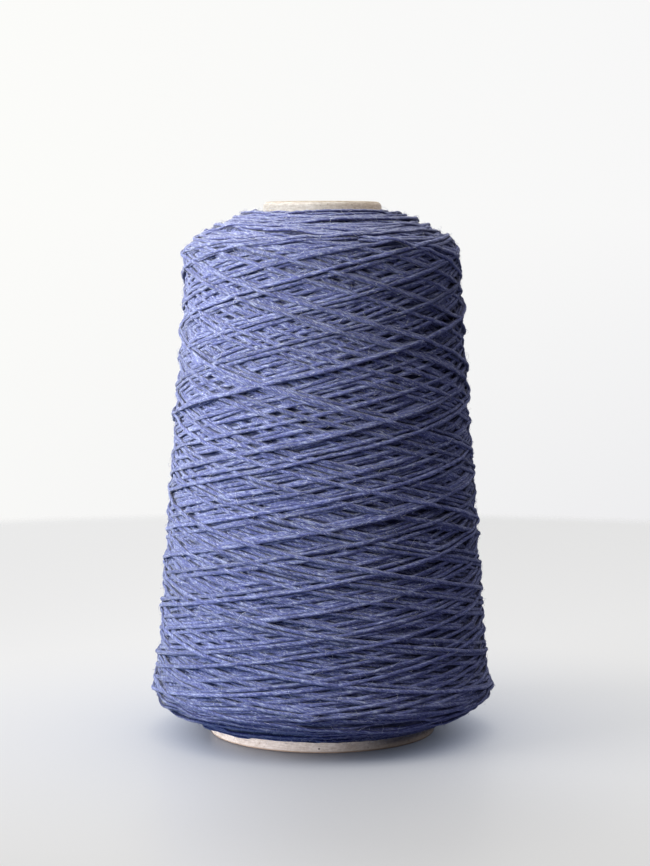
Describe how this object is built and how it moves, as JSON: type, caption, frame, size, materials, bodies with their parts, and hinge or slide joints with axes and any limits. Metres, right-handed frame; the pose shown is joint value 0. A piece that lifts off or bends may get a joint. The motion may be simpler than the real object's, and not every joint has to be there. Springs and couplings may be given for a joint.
{
  "type": "yarn cone",
  "caption": "Cross-wound package of soft single-ply yarn on a tapered paperboard winding cone, standing on its wide end.",
  "frame": {"origin": "centre of the cone's base plane, on the axis", "axes": "+Z along the cone's axis, from the wide base up to the nose; X and Y are equal, with the loose end of the yarn on the +Y side"},
  "size_m": [0.11, 0.11, 0.17],
  "materials": {
    "yarn": "soft matt spun fibre, periwinkle blue",
    "board_face": "smooth calendered paperboard, warm cream",
    "board_core": "raw grey-tan chipboard"
  },
  "bodies": {
    "cone": {"cone_inner_ply": "board_core", "cone_core_ply_inner": "board_core", "cone_core_ply_outer": "board_core", "cone_face_ply": "board_face", "start_wraps": "yarn"},
    "winding": {"winding_inner_layers": "yarn", "winding_middle_layers": "yarn", "winding_outer_layers": "yarn", "winding_surface_wraps": "yarn"},
    "running_end": {"running_end": "yarn"}
  },
  "joints": [
    {"name": "winding_slide", "type": "slide", "parent": "cone", "child": "winding", "axis": [0, 0, 1], "range_m": [0, 0.17]},
    {"name": "running_end_orbit", "type": "hinge", "parent": "winding", "child": "running_end", "pos_m": [0, 0, 0], "axis": [0, 0, 1], "continuous": true}
  ]
}
